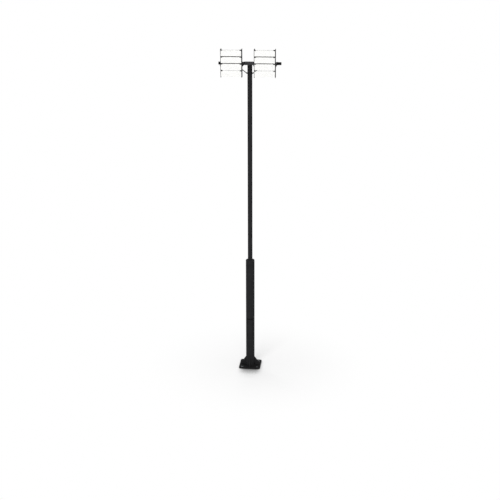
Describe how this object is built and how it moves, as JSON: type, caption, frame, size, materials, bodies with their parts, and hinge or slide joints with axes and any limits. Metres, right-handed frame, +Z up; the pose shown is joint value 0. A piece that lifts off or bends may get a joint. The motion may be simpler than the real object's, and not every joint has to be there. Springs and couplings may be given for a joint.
{
  "type": "garden lamp post",
  "caption": "Stepped round lamp post on a gusseted base plate, with a service door and a crossbar carrying two tilting heads of white slats.",
  "frame": {"origin": "middle of the underside of the base plate, on the pole axis", "axes": "+Z up along the pole, +X along the crossbar to the right head, -Y the front that the heads and the service door face"},
  "size_m": [1.146, 0.5819, 6.2597],
  "materials": {
    "steel_coat": "matt fine-texture powder coat",
    "aluminium_coat": "matt fine-texture powder coat",
    "slat_white": "opal diffuser",
    "cap_plastic": "matte",
    "fastener_steel": "dark galvanised"
  },
  "bodies": {
    "post": {"base_plate": "steel_coat", "front_gusset": "steel_coat", "back_gusset": "steel_coat", "left_gusset": "steel_coat", "right_gusset": "steel_coat", "lower_tube": "steel_coat", "hatch_frame": "steel_coat", "hinge_leaves": "steel_coat", "hinge_pins": "fastener_steel", "step_ring": "steel_coat", "upper_tube_foot": "steel_coat", "upper_tube": "steel_coat", "pole_cap": "steel_coat", "crossbar_box": "steel_coat", "crossbar_tube": "steel_coat", "left_end_cap": "cap_plastic", "right_end_cap": "cap_plastic", "strut_lugs": "steel_coat", "left_strut": "steel_coat", "right_strut": "steel_coat", "strut_bolts": "fastener_steel", "left_outer_arm": "steel_coat", "left_inner_arm": "steel_coat", "right_inner_arm": "steel_coat", "right_outer_arm": "steel_coat", "left_pivot_bolts": "fastener_steel", "right_pivot_bolts": "fastener_steel"},
    "service_door": {"door_leaf": "steel_coat", "door_lock": "fastener_steel"},
    "left_head": {"left_head_inner_side": "aluminium_coat", "left_head_outer_side": "aluminium_coat", "left_slat_1": "aluminium_coat", "left_slat_2": "aluminium_coat", "left_slat_3": "aluminium_coat", "left_slat_4": "aluminium_coat", "left_slat_fronts": "slat_white", "left_tie_rods": "steel_coat"},
    "right_head": {"right_head_inner_side": "aluminium_coat", "right_head_outer_side": "aluminium_coat", "right_slat_1": "aluminium_coat", "right_slat_2": "aluminium_coat", "right_slat_3": "aluminium_coat", "right_slat_4": "aluminium_coat", "right_slat_fronts": "slat_white", "right_tie_rods": "steel_coat"}
  },
  "joints": [
    {"name": "door_hinge", "type": "hinge", "parent": "post", "child": "service_door", "pos_m": [-0.06463, -0.06356, 0.805], "axis": [0, 0, -1], "range_deg": [0, 110]},
    {"name": "left_head_tilt", "type": "hinge", "parent": "post", "child": "left_head", "pos_m": [-0.3, -0.297, 5.97], "axis": [1, 0, 0], "range_deg": [-15, 45]},
    {"name": "right_head_tilt", "type": "hinge", "parent": "post", "child": "right_head", "pos_m": [0.3, -0.297, 5.97], "axis": [1, 0, 0], "range_deg": [-15, 45]}
  ]
}
